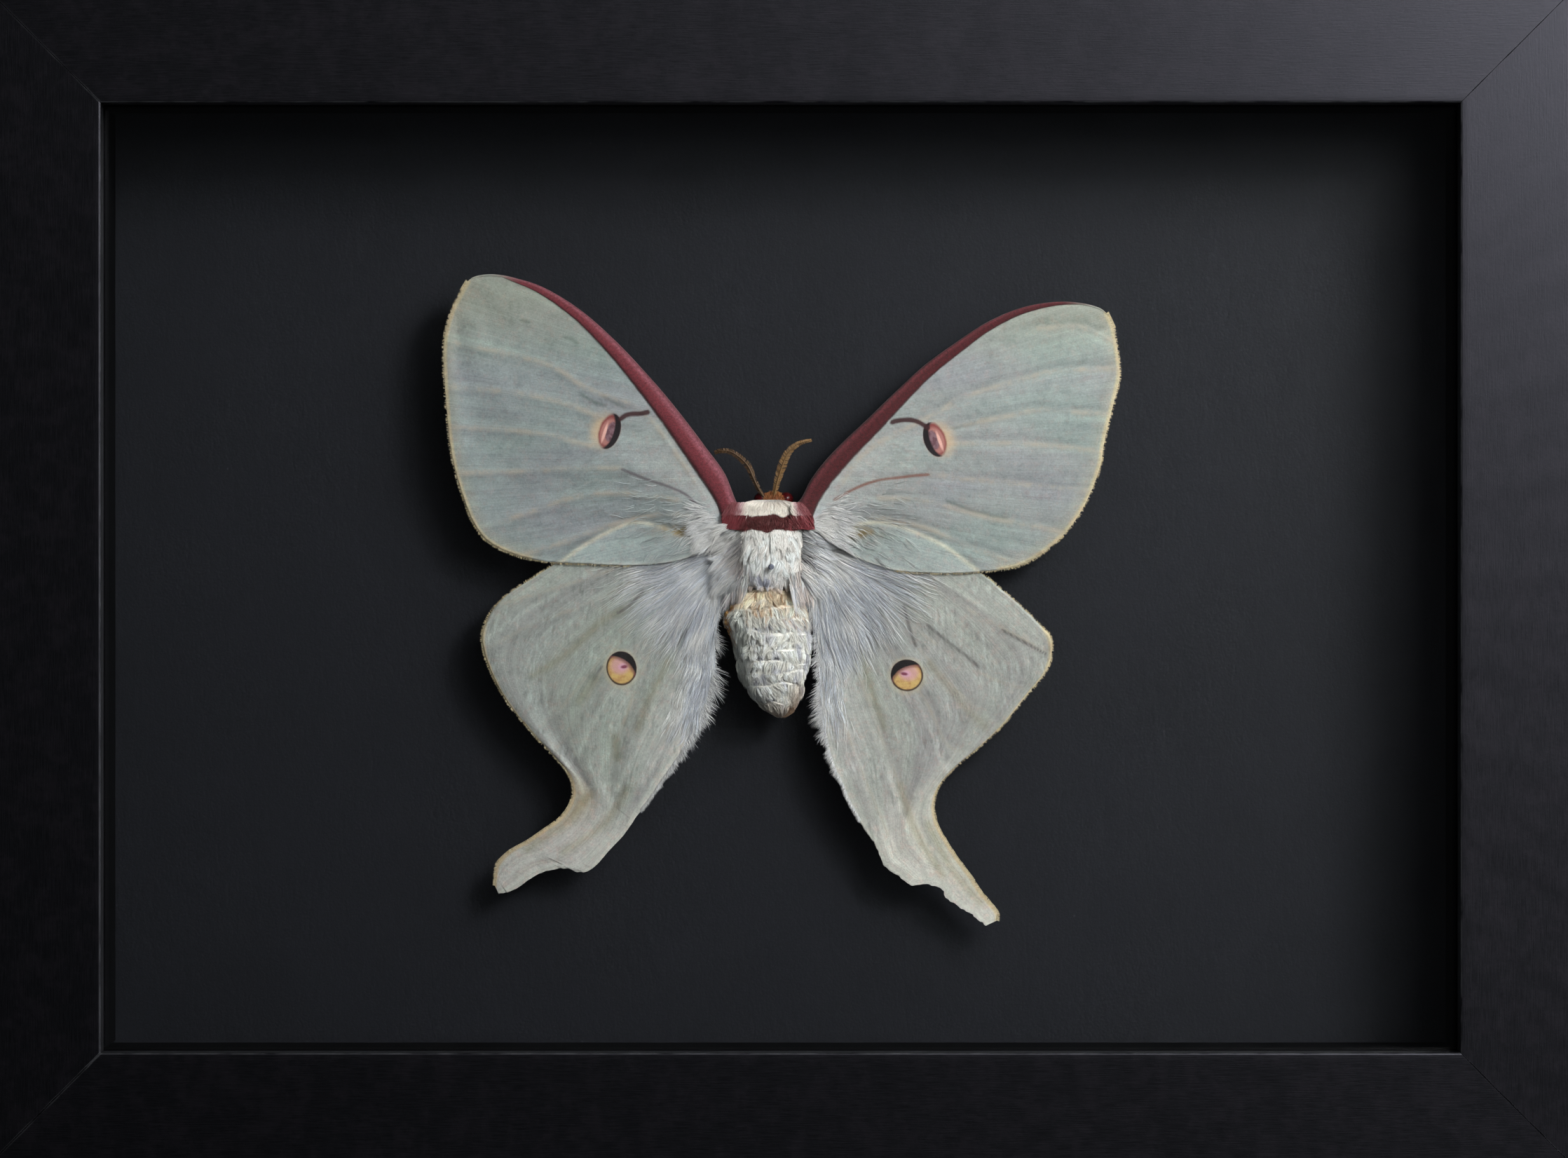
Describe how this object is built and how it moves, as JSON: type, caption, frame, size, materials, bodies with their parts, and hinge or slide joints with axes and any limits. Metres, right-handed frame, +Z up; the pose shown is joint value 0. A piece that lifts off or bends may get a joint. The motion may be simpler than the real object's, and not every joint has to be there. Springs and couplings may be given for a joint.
{
  "type": "framed luna moth specimen",
  "caption": "Spread luna moth on a pin in a deep black frame with glass, standing on its bottom rail or hung by a sawtooth hanger.",
  "frame": {"origin": "bottom centre of the whole object's box, on the surface that the bottom rail stands on", "axes": "+X to the viewer's right along the long rails, +Y from the glazed front to the back, +Z up"},
  "size_m": [0.2154, 0.036, 0.1638],
  "materials": {
    "frame_paint": "black satin paint over fine grain",
    "glass": "clear polished pane",
    "spacer_card": "matt black card",
    "backing_paper": "matt black paper with a fine tooth",
    "fibreboard": "raw brown fibreboard",
    "steel": "plain stamped steel",
    "bumper_rubber": "soft matt rubber",
    "pin_enamel": "black enamelled steel wire",
    "head_hair": "short orange brown hair",
    "thorax_wool": "white woolly hair with a maroon band",
    "abdomen_scales": "cream scales over grey rings",
    "forewing_scales": "pale green powdery scales, maroon front vein",
    "hindwing_scales": "pale grey green powdery scales",
    "antenna_comb": "golden brown feathered comb",
    "leg_shell": "reddish brown, slightly hairy"
  },
  "bodies": {
    "root": {"rail_top": "frame_paint", "rail_bottom": "frame_paint", "rail_left": "frame_paint", "rail_right": "frame_paint", "point_top_1": "steel", "point_top_2": "steel", "point_bottom_1": "steel", "point_bottom_2": "steel", "point_left": "steel", "point_right": "steel", "glass": "glass", "spacer_top": "spacer_card", "spacer_bottom": "spacer_card", "spacer_left": "spacer_card", "spacer_right": "spacer_card", "backing_board": "backing_paper", "back_panel": "fibreboard", "hanger": "steel", "hanger_nail_left": "steel", "hanger_nail_right": "steel", "bumper_left": "bumper_rubber", "bumper_right": "bumper_rubber", "pin": "pin_enamel", "head": "head_hair", "thorax": "thorax_wool", "abdomen": "abdomen_scales", "forewing_left": "forewing_scales", "forewing_right": "forewing_scales", "hindwing_left": "hindwing_scales", "hindwing_right": "hindwing_scales", "antenna_left": "antenna_comb", "antenna_right": "antenna_comb", "leg_front_left": "leg_shell", "leg_front_right": "leg_shell", "leg_middle_left": "leg_shell", "leg_middle_right": "leg_shell", "leg_hind_left": "leg_shell", "leg_hind_right": "leg_shell"}
  },
  "joints": []
}
